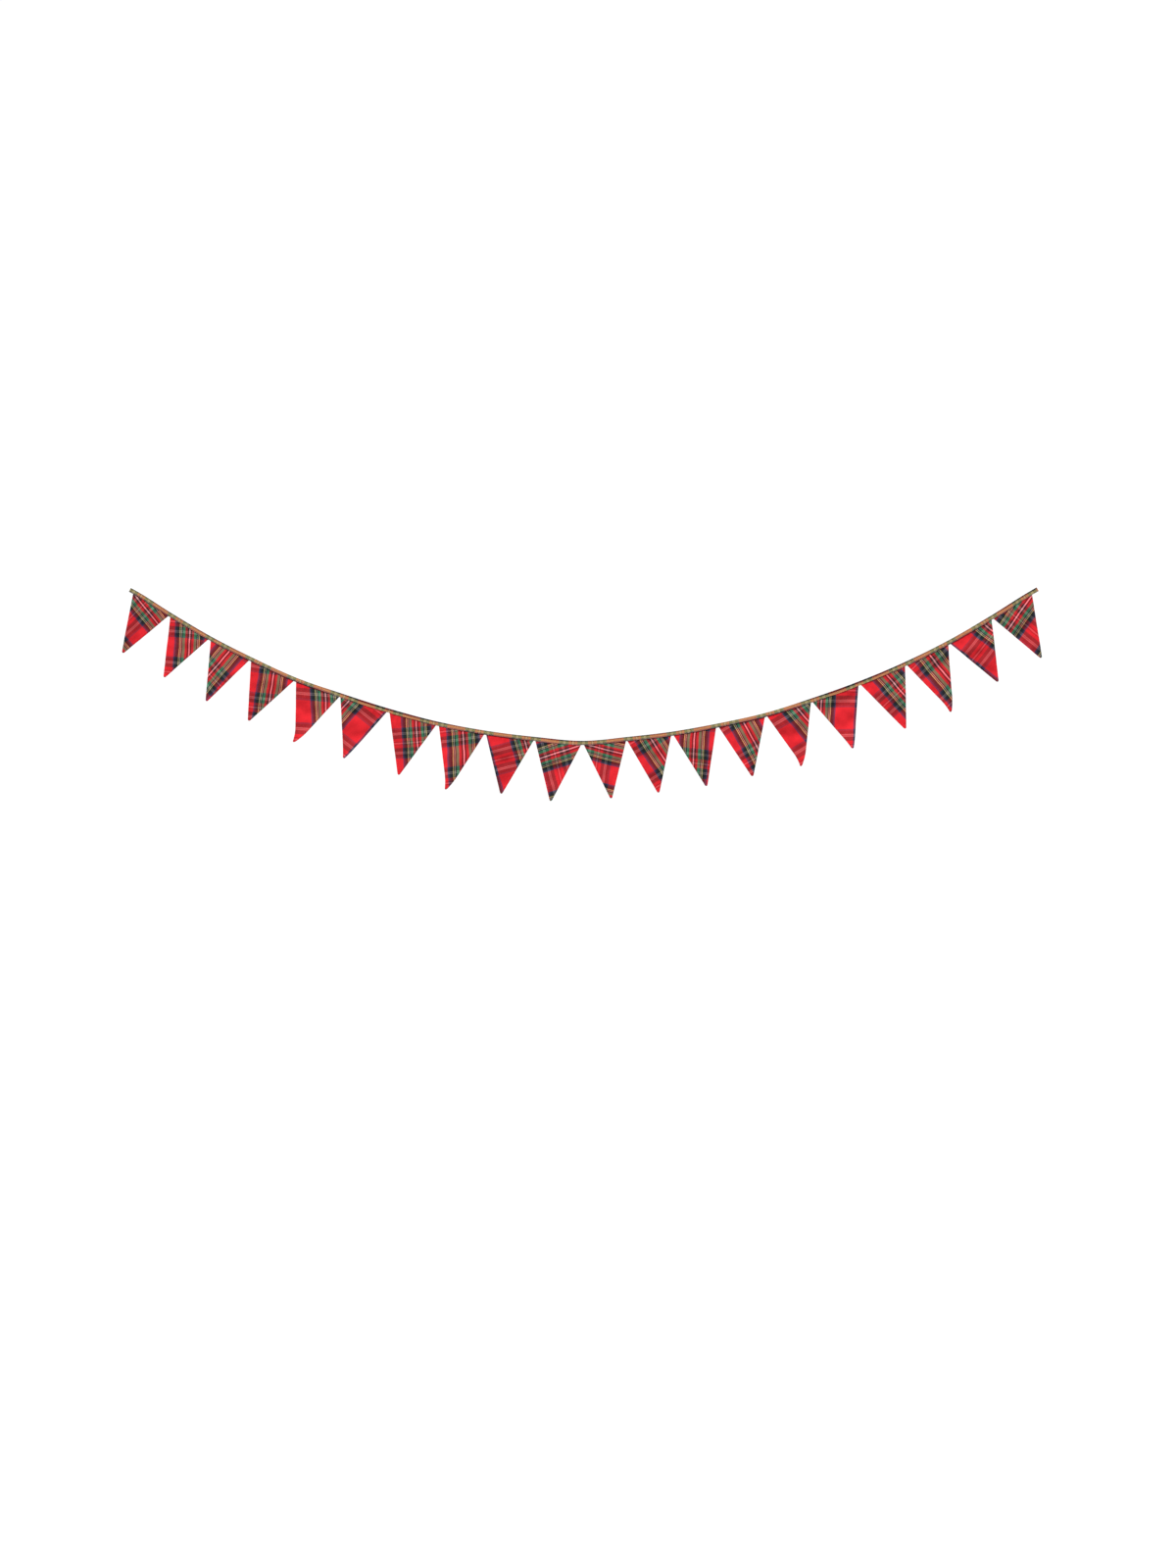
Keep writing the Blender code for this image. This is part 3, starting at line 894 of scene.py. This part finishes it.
def laid_stitches(name, lines, values):
    """The stitches along lines of points, as a plain mesh."""
    points, edges = [], []
    for line in lines:
        first = len(points)
        points += line.tolist()
        edges += [(n, n + 1) for n in range(first, len(points) - 1)]
    mesh = bpy.data.meshes.new(name + "_lines")
    mesh.from_pydata(points, edges, [])
    guide = bpy.data.objects.new(name + "_lines", mesh)
    bpy.context.scene.collection.objects.link(guide)
    group = stitch_tree()
    modifier = guide.modifiers.new("stitches", "NODES")
    modifier.node_group = group
    for label, value in values.items():
        modifier[group.interface.items_tree[label].identifier] = value
    graph = bpy.context.evaluated_depsgraph_get()
    made = bpy.data.meshes.new_from_object(guide.evaluated_get(graph))
    made.name = name
    obj = bpy.data.objects.new(name, made)
    bpy.context.scene.collection.objects.link(obj)
    bpy.data.objects.remove(guide, do_unlink=True)
    return obj


# ---------------------------------------------------------------- operators

def swag_and_pennants():
    swag = Swag(HANG)
    return swag, [Pennant(swag, index, settings()) for index in range(PENNANTS)]


class BUNTING_OT_sew_pennants(bpy.types.Operator):
    """Make the twenty pennants, each from two layers of tartan"""
    bl_idname = "bunting.sew_pennants"
    bl_label = "Sew pennants"

    def execute(self, context):
        finish = tartan("pennant tartan")
        for pennant in swag_and_pennants()[1]:
            number = f"{pennant.index + 1:02d}"
            obj = pennant.make("pennant_cloth_" + number)
            obj.data.materials.append(finish)
            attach(obj, "root")
            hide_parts("pennant_" + number)
            flat, area = pennant.flat_size()
        return {"FINISHED"}


class BUNTING_OT_fold_tape(bpy.types.Operator):
    """Fold the tape over the pennants' top edges"""
    bl_idname = "bunting.fold_tape"
    bl_label = "Fold tape"

    def execute(self, context):
        tape = Tape(*swag_and_pennants(), settings())
        obj = tape.make("tape_cloth")
        obj.data.materials.append(tartan("tape tartan", along_tape=True))
        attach(obj, "root")
        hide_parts("binding_tape")
        return {"FINISHED"}


class BUNTING_OT_stitch_tape(bpy.types.Operator):
    """Run the machine stitches along both sewn edges of the tape"""
    bl_idname = "bunting.stitch_tape"
    bl_label = "Stitch tape"

    def execute(self, context):
        sizes = settings()
        tape = Tape(*swag_and_pennants(), sizes)
        obj = laid_stitches("tape_stitches", tape.stitch_lines(), {
            "Pitch": sizes.stitch_pitch, "Length": sizes.stitch_length,
            "Thread": sizes.stitch_thread, "Seed": sizes.stitch_seed,
            "Finish": thread_finish("sewing thread")})
        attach(obj, "root")
        return {"FINISHED"}


Lamp = namedtuple("Lamp", "name towards strength softness")   # softness in degrees


class BUNTING_OT_set_stage(bpy.types.Operator):
    """Put in the pale floor, the soft lights and the camera"""
    bl_idname = "bunting.set_stage"
    bl_label = "Set stage"

    FLOOR_HEIGHT = -2.1
    FLOOR_SIZE = 30.0
    VIEW_CENTRE = Vector((1.4088, 0.0, -0.604))
    VIEW_HEIGHT = 4.832
    LENS = 85.0
    SENSOR = 36.0
    AMBIENT = 0.34                 # the world's light on the cloth
    BACKDROP = 1.05                # and as the camera sees it
    LAMPS = (
        Lamp("key", (-0.8, -1.0, 1.6), 3.55, 12.0),
        Lamp("fill", (1.0, -1.0, 0.1), 0.35, 60.0),
        Lamp("back", (0.6, 1.0, 0.9), 1.5, 30.0),
    )

    def execute(self, context):
        self.lay_floor()
        self.light(context.scene)
        self.aim_camera(context.scene)
        return {"FINISHED"}

    def lay_floor(self):
        reach = 0.5 * self.FLOOR_SIZE
        x, z = self.VIEW_CENTRE.x, self.FLOOR_HEIGHT
        mesh = bpy.data.meshes.new("floor")
        mesh.from_pydata([(x + i * reach, j * reach, z)
                          for i, j in ((-1, -1), (1, -1), (1, 1), (-1, 1))], [], [(0, 1, 2, 3)])
        finish = Finish("pale floor", {"Roughness": 0.9, "Specular IOR Level": 0.1,
                                       "Base Color": (0.9, 0.9, 0.9, 1.0),
                                       "Emission Color": (1.0, 1.0, 1.0, 1.0),
                                       "Emission Strength": 0.3})
        mesh.materials.append(finish.material)
        floor = bpy.data.objects.new("floor", mesh)
        bpy.context.scene.collection.objects.link(floor)
        floor.visible_diffuse = False      # so that the cloth isn't lit from below

    def light(self, scene):
        world = bpy.data.worlds.new("studio")
        world.use_nodes = True
        scene.world = world
        tree = Tree(world.node_tree)
        background = world.node_tree.nodes["Background"]
        seen = tree.add("ShaderNodeLightPath", output="Is Camera Ray")
        tree.feed(background, {"Color": (1.0, 1.0, 1.0, 1.0),
                               "Strength": self.AMBIENT
                               + seen * (self.BACKDROP - self.AMBIENT)})
        for lamp in self.LAMPS:
            light = bpy.data.lights.new(lamp.name, "SUN")
            light.energy, light.angle = lamp.strength, np.radians(lamp.softness)
            obj = bpy.data.objects.new(lamp.name, light)
            obj.rotation_euler = (-Vector(lamp.towards)).to_track_quat("-Z", "Y").to_euler()
            scene.collection.objects.link(obj)
        scene.view_settings.view_transform = "Standard"

    def aim_camera(self, scene):
        camera = bpy.data.cameras.new("camera")
        camera.lens, camera.sensor_width = self.LENS, self.SENSOR
        obj = bpy.data.objects.new("camera", camera)
        away = self.VIEW_HEIGHT * self.LENS / self.SENSOR
        obj.location = self.VIEW_CENTRE - Vector((0.0, away, 0.0))
        obj.rotation_euler = (0.5 * np.pi, 0.0, 0.0)
        scene.collection.objects.link(obj)
        scene.camera = obj


class BUNTING_PT_panel(bpy.types.Panel):
    """The bunting's pieces, in the order in which they are made"""
    bl_label = "Tartan bunting"
    bl_space_type = "VIEW_3D"
    bl_region_type = "UI"
    bl_category = "Bunting"

    def draw(self, context):
        layout = self.layout
        for piece in PIECES:
            layout.operator(piece.bl_idname)
        for name in BuntingSettings.__annotations__:
            if name not in ("warp", "weft"):
                layout.prop(context.scene.bunting, name)
        for group in (context.scene.bunting.warp, context.scene.bunting.weft):
            for name in type(group).__annotations__:
                layout.prop(group, name)


PIECES = (BUNTING_OT_sew_pennants, BUNTING_OT_fold_tape, BUNTING_OT_stitch_tape,
          BUNTING_OT_set_stage)
CLASSES = (WarpYarns, WeftYarns, BuntingSettings, *PIECES, BUNTING_PT_panel)


def register():
    for cls in CLASSES:
        bpy.utils.register_class(cls)
    bpy.types.Scene.bunting = PointerProperty(type=BuntingSettings)


def unregister():
    del bpy.types.Scene.bunting
    for cls in reversed(CLASSES):
        bpy.utils.unregister_class(cls)


def main():
    register()
    bpy.ops.bunting.sew_pennants()
    bpy.ops.bunting.fold_tape()
    bpy.ops.bunting.stitch_tape()
    bpy.ops.bunting.set_stage()


if __name__ == "__main__":
    main()
